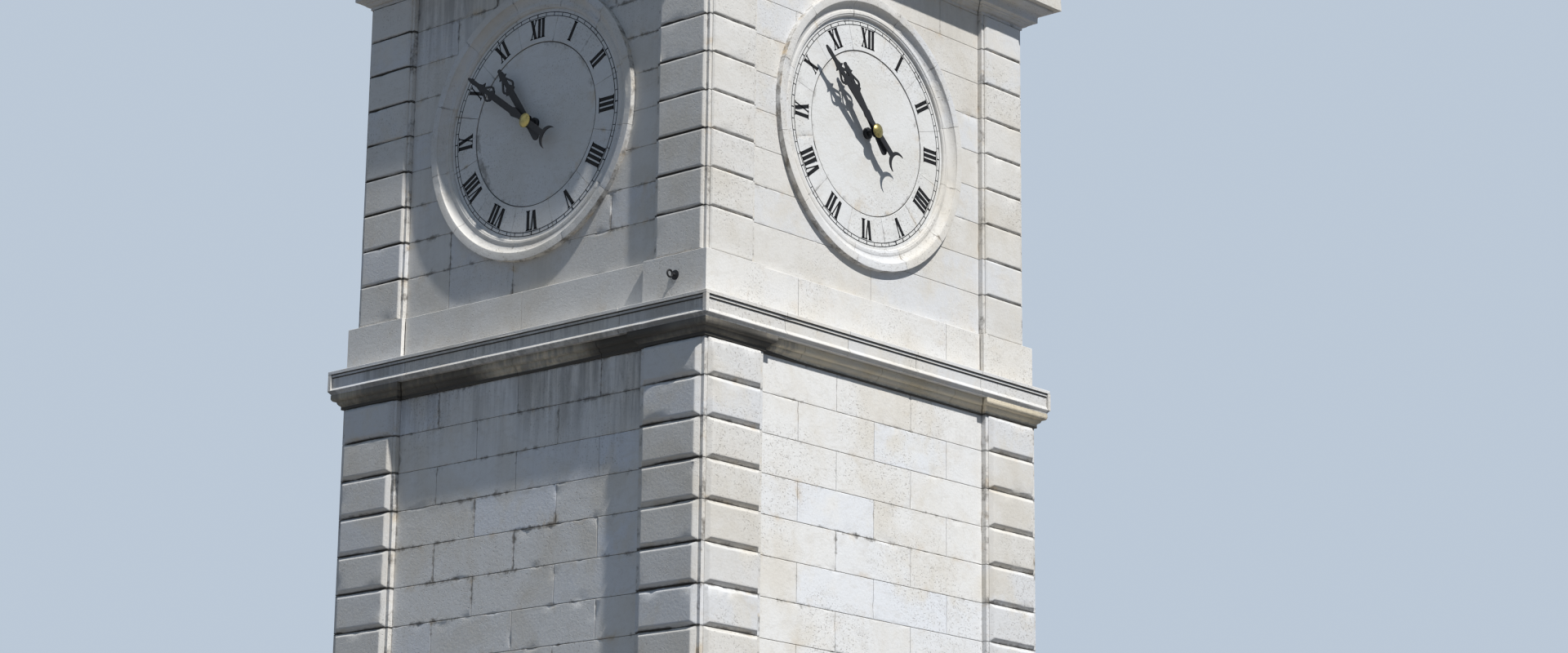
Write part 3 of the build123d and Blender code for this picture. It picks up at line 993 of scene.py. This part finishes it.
def dial_disc(face):
    """The plain middle of a dial, with a black joint round it, painted as grime and as the shade in
    the gap, and the shafts' hole.
    """
    back = -0.114
    radii = [SHAFT_HOLE, SHAFT_HOLE, 0.2, 0.4, 0.6, 0.68, 0.72, 0.76]
    radii = np.array(radii + [RING_INNER - inset for inset in (0.010, 0.006, 0.0015, 0.0005, 0.0005)])
    outs = np.array([back] + [-0.006] * 10 + [-0.0075, back])
    angles = np.linspace(0, 2 * np.pi, 96, endpoint=False)
    angle, radius = np.meshgrid(angles, radii, indexing="ij")
    dirt = (radius / RING_INNER) ** 12 * 0.7
    if face == "left":
        low_left = fade(np.abs(np.degrees(angle) - 250), 42)
        near_edge = np.clip((radius - 0.70) / 0.08, 0, 1)
        dirt = np.maximum(dirt, 1.6 * low_left * near_edge).clip(0, 0.9)
    # painted shade: the joint round the disc is painted black, for grime and for the shade in the gap
    grime_and_shade = np.where(radius > RING_INNER - 0.007, 1.8, 0)
    disc = Stonework()
    disc.tube(dial_points(radius, angle, outs + 0 * radius), marked(0.5, dirt, grime_and_shade), hoop=True)
    return disc


def dials(dial_stone, stone, paint):
    surrounds, rings, discs, marks = Stonework(), Stonework(), Stonework(), Stonework()
    for seed, (face, angle) in enumerate(FACES.items()):
        surrounds.turned(dial_surround(seed), angle)
        rings.turned(numeral_ring(face, seed), angle)
        discs.turned(dial_disc(face), angle)
        marks.turned(dial_marks(), angle)
    stones("dial_surrounds", surrounds, stone, 18)
    stones("numeral_rings", rings, dial_stone)
    stones("dial_discs", discs, dial_stone)
    piece("dial_numerals_and_track", marks.mesh("numerals"), paint)


def prism(work, outline, hour):
    """A thin raised shape on the dial: outline is (across, up) from the numeral's middle."""
    turn = math.radians(30 * hour)
    x, y = np.array(outline).T
    r = NUMERAL_RADIUS + y
    across = x * math.cos(turn) + r * math.sin(turn)
    up = DIAL_Z + (r * math.cos(turn) - x * math.sin(turn))
    rows = [(across, np.full(x.shape, -(DIAL_PLANE + out)), up) for out in (SUNK, INLAY)]
    work.tube(np.swapaxes(rows, 1, 2))


def stroke(bottom, top, width):
    """A straight stroke of a letter between two points on its foot and top lines."""
    h = NUMERAL_HEIGHT / 2 - SERIF * 0.5
    w = width / 2
    return [(bottom - w, -h), (bottom + w, -h), (top + w, h), (top - w, h)]


def serif(middle, width, top):
    """A small foot or head of a letter, thicker where it meets the stroke."""
    h = NUMERAL_HEIGHT / 2
    sign = 1 if top else -1
    w = width / 2
    return [
        (middle - w, sign * h),
        (middle + w, sign * h),
        (middle + w, sign * (h - SERIF * 0.6)),
        (middle + w * 0.55, sign * (h - SERIF * 1.5)),
        (middle - w * 0.55, sign * (h - SERIF * 1.5)),
        (middle - w, sign * (h - SERIF * 0.6)),
    ]


def letter(work, sign, at, hour):
    """One letter of a numeral, from the place of its left edge."""
    _, strokes, serifs = LETTERS[sign]
    for foot, head, width in strokes:
        prism(work, stroke(at + foot, at + head, width), hour)
    for middle, width, top in serifs:
        prism(work, serif(at + middle, width, top), hour)


def dial_marks():
    """Hour numerals and the minute track of one dial."""
    work = Stonework()
    words = ("XII", "I", "II", "III", "IIII", "V", "VI", "VII", "VIII", "IX", "X", "XI")
    for hour, word in enumerate(words):
        at = -sum(LETTERS[sign][0] for sign in word) / 2
        for sign in word:
            letter(work, sign, at, hour)
            at += LETTERS[sign][0]
    angles = np.linspace(0, 2 * np.pi, 180, endpoint=False)
    for middle in TRACK_RADII:
        inner, outer = middle - TRACK_LINE / 2, middle + TRACK_LINE / 2
        radii = np.array((inner, inner, outer, outer))
        outs = np.array((SUNK, INLAY, INLAY, SUNK))
        angle, radius = np.meshgrid(angles, radii, indexing="ij")
        work.tube(dial_points(radius, angle, outs + 0 * radius), hoop=True)
    low, high = (radius - NUMERAL_RADIUS for radius in TRACK_RADII)
    for minute in range(60):
        half = 0.0055 if minute % 5 == 0 else 0.0032
        prism(work, [(-half, low), (half, low), (half, high), (-half, high)], minute / 5)
    return work


def eye_bolt(metal):
    """The bolt on the left face: a round plate and a ring."""
    x = -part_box("clock_plinth")[1][0]
    y, z = EYE_BOLT
    angles = np.linspace(0, 2 * np.pi, 24, endpoint=False)
    work = Stonework()
    rows = []
    for radius, out in ((0.045, -0.004), (0.045, 0.006), (0.015, 0.012), (0.012, 0.040)):
        rows.append([(x - out, y + radius * math.cos(a), z + radius * math.sin(a)) for a in angles])
    work.tube(np.array(rows))
    ring = 0.032
    bar = 0.009
    around = np.linspace(0, 2 * np.pi, 10, endpoint=False)
    a, b = np.meshgrid(angles, around, indexing="ij")
    reach = ring + bar * np.cos(b)
    middle = x - 0.070
    rows = (middle + reach * np.cos(a), y + bar * np.sin(b), z + reach * np.sin(a))
    work.tube(np.stack(rows, axis=-1), hoop=True)
    piece("eye_bolt", work.mesh("eye_bolt"), metal)


# Materials


class Graph:
    """Small helper to write a material's nodes in a readable order."""

    def __init__(self, name):
        self.material = bpy.data.materials.new(name)
        self.material.use_nodes = True
        self.tree = self.material.node_tree
        self.shader = self.tree.nodes["Principled BSDF"]
        self.place = self.node("TexCoord").outputs["Object"]

    def put(self, socket, value):
        if isinstance(value, bpy.types.NodeSocket):
            self.tree.links.new(value, socket)
        else:
            socket.default_value = value

    def node(self, kind, inputs=None):
        """A new node; inputs gives values or links by an input's name or number."""
        node = self.tree.nodes.new("ShaderNode" + kind)
        for name, value in (inputs or {}).items():
            self.put(node.inputs[name], value)
        return node

    def scaled(self, factors):
        return self.node("Mapping", {"Vector": self.place, "Scale": factors}).outputs["Vector"]

    def noise(self, scale, detail=4, rough=0.55, where=None, distort=0):
        node = self.node("TexNoise", {
            "Vector": self.place if where is None else where,
            "Scale": scale,
            "Detail": detail,
            "Roughness": rough,
            "Distortion": distort,
        })
        return node.outputs["Fac"]

    def steps(self, value, low, high):
        """0 below low, 1 above high and smooth between."""
        node = self.node("MapRange", {"Value": value, "From Min": low, "From Max": high})
        node.interpolation_type = "SMOOTHSTEP"
        return node.outputs["Result"]

    def math(self, kind, a, b):
        node = self.node("Math", {0: a, 1: b})
        node.operation = kind
        return node.outputs["Value"]

    def plus(self, a, b):
        return self.math("ADD", a, b)

    def times(self, a, b):
        return self.math("MULTIPLY", a, b)

    def mix(self, amount, first, second):
        node = self.node("Mix")
        node.data_type = "RGBA"
        self.put(node.inputs["Factor"], amount)
        self.put(node.inputs[6], first)
        self.put(node.inputs[7], second)
        return node.outputs[2]

    def parts(self, vector):
        return self.node("SeparateXYZ", {0: vector}).outputs

    def marks(self):
        node = self.node("Attribute")
        node.attribute_name = "marks"
        return self.parts(node.outputs["Vector"])

    def facing_up(self):
        return self.parts(self.node("NewGeometry").outputs["Normal"])[2]

    def bump(self, height, distance, strength):
        node = self.node("Bump", {"Height": height, "Distance": distance, "Strength": strength})
        self.put(self.shader.inputs["Normal"], node.outputs["Normal"])

    def finish(self, colour, roughness, metallic=0.0):
        self.put(self.shader.inputs["Base Color"], colour)
        self.put(self.shader.inputs["Roughness"], roughness)
        self.shader.inputs["Metallic"].default_value = metallic
        return self.material


def limestone(name, clean, warm, dark_amount=1.0, patchwork=1.0):
    """Weathered limestone; the mesh's marks say tone, dirt and where it is wet or black, the black
    being grime and painted shade.
    """
    g = Graph(name)
    tone, dirt, grime_and_shade = g.marks()

    # Warm clouds, and stones here and there that are washed cleaner
    body = g.mix(g.steps(g.noise(1.5, 8, 0.62, distort=0.3), 0.42, 0.68), clean, warm)
    cool = (clean[0] * 0.97, clean[1], clean[2] * 1.06, 1)
    washed = g.times(g.steps(tone, 0.45, 0.9), g.steps(g.noise(2.3, 5, 0.6), 0.36, 0.56))
    body = g.mix(g.times(washed, patchwork), body, cool)

    # Veins, brown stains that gather at dirty joints, and a fine speckle
    veins = g.steps(g.noise(3.0, 9, 0.72, where=g.scaled((1, 1, 2.6)), distort=1.2), 0.52, 0.60)
    body = g.mix(g.times(veins, 0.16), body, VEIN)
    stains = g.steps(g.noise(4.2, 8, 0.66, distort=0.5), 0.52, 0.74)
    body = g.mix(g.times(stains, g.plus(dirt, 0.10)), body, STAIN)
    body = g.mix(g.times(g.steps(g.noise(24, 7, 0.7), 0.5, 0.8), 0.30), body, SPECKLE)

    # Pits, coarse ones only in patches
    pitted = g.steps(g.noise(0.9, 3, 0.5), 0.42, 0.58)
    pits = g.times(g.steps(g.noise(58, 3, 0.6), 0.58, 0.68), pitted)
    pits = g.math("MAXIMUM", pits, g.steps(g.noise(80, 3, 0.7), 0.66, 0.74))
    body = g.mix(g.times(pits, 0.48), body, PIT)

    # Grime beside the joints, and dirt packed into them
    beside = g.steps(g.plus(g.noise(7, 7, 0.72), g.times(dirt, 0.34)), 0.68, 0.90)
    body = g.mix(g.times(beside, 0.8 * dark_amount), body, GRIME)
    body = g.mix(g.steps(dirt, 0.93, 1.0), body, PACKED_DIRT)

    # Dark water runs
    wet = g.steps(grime_and_shade, 0.0, 0.9)
    patches = g.noise(1.0, 6, 0.6, where=g.scaled((1.9, 1.9, 0.9)), distort=0.4)
    streaks = g.noise(1.0, 7, 0.65, where=g.scaled((13, 13, 0.8)), distort=0.5)
    runs = g.plus(g.times(streaks, 0.52), g.times(patches, 0.48))
    runs = g.times(g.steps(g.plus(runs, g.times(wet, 0.10)), 0.47, 0.68), wet)
    body = g.mix(g.times(runs, 0.72), body, WATER_RUN)

    # Growth on what faces up, and black where the third mark is high: black grime, and painted shade
    # in steps, grooves and joints
    growth = g.steps(g.noise(2.4, 9, 0.66, distort=0.4), 0.36, 0.68)
    growth = g.times(g.steps(g.facing_up(), 0.55, 0.95), growth)
    body = g.mix(g.times(growth, 0.62), body, GROWTH)
    body = g.mix(g.steps(grime_and_shade, 1.2, 1.7), body, BLACK_SHADE_AND_GRIME)

    g.bump(g.plus(g.noise(38, 8, 0.7), g.times(pits, -0.8)), 0.006, 0.6)
    return g.finish(body, 0.88)


def painted_iron():
    g = Graph("painted_iron")
    rust = g.steps(g.noise(14, 7, 0.7), 0.60, 0.78)
    colour = g.mix(g.times(rust, 0.35), (0.016, 0.016, 0.018, 1), (0.075, 0.040, 0.024, 1))
    g.bump(g.noise(160, 4, 0.6), 0.0015, 0.5)
    g.shader.inputs["Specular IOR Level"].default_value = 0.3
    return g.finish(colour, g.plus(g.times(g.noise(30, 3), 0.25), 0.50))


def dull_brass():
    g = Graph("dull_brass")
    tarnish = g.steps(g.noise(22, 6, 0.65), 0.42, 0.68)
    colour = g.mix(tarnish, (0.33, 0.27, 0.10, 1), (0.13, 0.11, 0.045, 1))
    g.bump(g.noise(90, 4, 0.6), 0.001, 0.4)
    return g.finish(colour, g.plus(g.times(tarnish, 0.25), 0.32), 0.85)


def black_paint():
    g = Graph("black_inlay")
    worn = g.steps(g.noise(60, 5, 0.7), 0.55, 0.72)
    colour = g.mix(g.times(worn, 0.4), (0.008, 0.008, 0.009, 1), (0.04, 0.04, 0.045, 1))
    g.shader.inputs["Specular IOR Level"].default_value = 0.2
    return g.finish(colour, 0.7)


def carry_over(material, *starts):
    """Give a material to every CAD node whose name starts with one of these words."""
    for name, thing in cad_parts.items():
        if name.startswith(starts):
            thing.data.materials.clear()
            thing.data.materials.append(material)


# Stage


def add_camera():
    camera = add_object("camera", bpy.data.cameras.new("camera"))
    camera.data.sensor_width = 36
    camera.data.lens = CAMERA_LENS
    camera.data.shift_x = CAMERA_SHIFT_X
    camera.data.clip_end = 300
    turn = Matrix.Rotation(-CAMERA_YAW, 4, "Z")
    turn @= Matrix.Rotation(math.pi / 2 + CAMERA_PITCH, 4, "X")
    turn @= Matrix.Rotation(CAMERA_ROLL, 4, "Z")
    camera.matrix_world = Matrix.Translation(CAMERA_AT) @ turn
    scene.camera = camera


def seen_directly(tree):
    """1 where the camera or a reflection sees the backdrop, 0 where it only gives light."""
    paths = tree.nodes.new("ShaderNodeLightPath")
    direct = tree.nodes.new("ShaderNodeMath")
    direct.operation = "MAXIMUM"
    tree.links.new(paths.outputs["Is Camera Ray"], direct.inputs[0])
    tree.links.new(paths.outputs["Is Glossy Ray"], direct.inputs[1])
    return direct.outputs[0]


def add_floor():
    half = 80
    corners = [(-half, -half, 0), (half, -half, 0), (half, half, 0), (-half, half, 0)]
    mesh = bpy.data.meshes.new("floor")
    mesh.from_pydata(corners, [], [(0, 1, 2, 3)])
    floor = add_object("floor", mesh)
    g = Graph("floor")
    colour = g.mix(seen_directly(g.tree), (0.10, 0.095, 0.09, 1), (0.50, 0.50, 0.49, 1))
    mesh.materials.append(g.finish(colour, 0.95))


def add_sun(name, toward, strength, degrees):
    sun = add_object(name, bpy.data.lights.new(name, "SUN"))
    sun.data.energy = strength
    sun.data.angle = math.radians(degrees)
    sun.rotation_euler = Vector(toward).to_track_quat("Z", "Y").to_euler()
    return sun


def add_sky():
    world = bpy.data.worlds.new("world")
    scene.world = world
    world.use_nodes = True
    tree = world.node_tree
    sky = tree.nodes["Background"]
    sky.inputs["Color"].default_value = (0.52, 0.71, 1.0, 1)
    sky.inputs["Strength"].default_value = SKY_STRENGTH
    seen = tree.nodes.new("ShaderNodeBackground")
    seen.inputs["Color"].default_value = (0.50, 0.58, 0.68, 1)
    mixer = tree.nodes.new("ShaderNodeMixShader")
    tree.links.new(seen_directly(tree), mixer.inputs[0])
    tree.links.new(sky.outputs[0], mixer.inputs[1])
    tree.links.new(seen.outputs[0], mixer.inputs[2])
    tree.links.new(mixer.outputs[0], tree.nodes["World Output"].inputs["Surface"])


add_camera()
add_floor()
add_sun("sun", SUN_TOWARD, SUN_STRENGTH, 1.2).data.color = (1.0, 0.985, 0.955)
add_sun("fill", FILL_TOWARD, FILL_STRENGTH, 50)
add_sky()

pale = limestone("limestone", (0.800, 0.790, 0.770, 1), (0.735, 0.700, 0.640, 1))
aged = limestone("aged_limestone", (0.710, 0.690, 0.655, 1), (0.650, 0.615, 0.555, 1))
# painted light: the bed moulding's cream-yellow colour stands in for warm light bounced up under the
# string course, on top of its own brownish tint
bed_stone_warm_bounce = limestone("bed_mould_limestone_warm_bounce", (0.780, 0.690, 0.530, 1), (0.680, 0.590, 0.430, 1))
plinth_stone = limestone(
    "plinth_stone", (0.770, 0.750, 0.715, 1), (0.720, 0.685, 0.625, 1), patchwork=0.4
)
dial_stone = limestone("dial_stone", (0.740, 0.737, 0.725, 1), (0.700, 0.688, 0.655, 1), 0.8, 0.25)
slabs = limestone("roof_slabs", (0.400, 0.390, 0.370, 1), (0.320, 0.300, 0.270, 1))
black_iron = painted_iron()

base_plinth(pale)
lower_walls(pale)
corner_piers("lower_corner_piers", LOWER_HALF, LOWER_PIER, lower_levels(), LOWER_PAD, aged)
string_bed_mould(bed_stone_warm_bounce)
string_course(aged)
clock_plinth(plinth_stone)
clock_walls(aged)
corner_piers("clock_corner_piers", CLOCK_HALF, CLOCK_PIER, clock_levels(), CLOCK_PAD, aged)
cornice(aged)
parapet(aged)
roof(slabs)
dials(dial_stone, aged, black_paint())
carry_over(black_iron, "minute_hand", "minute_arbor", "hour_hand", "dial_bosses")
eye_bolt(black_iron)
carry_over(dull_brass(), "hub_cap")
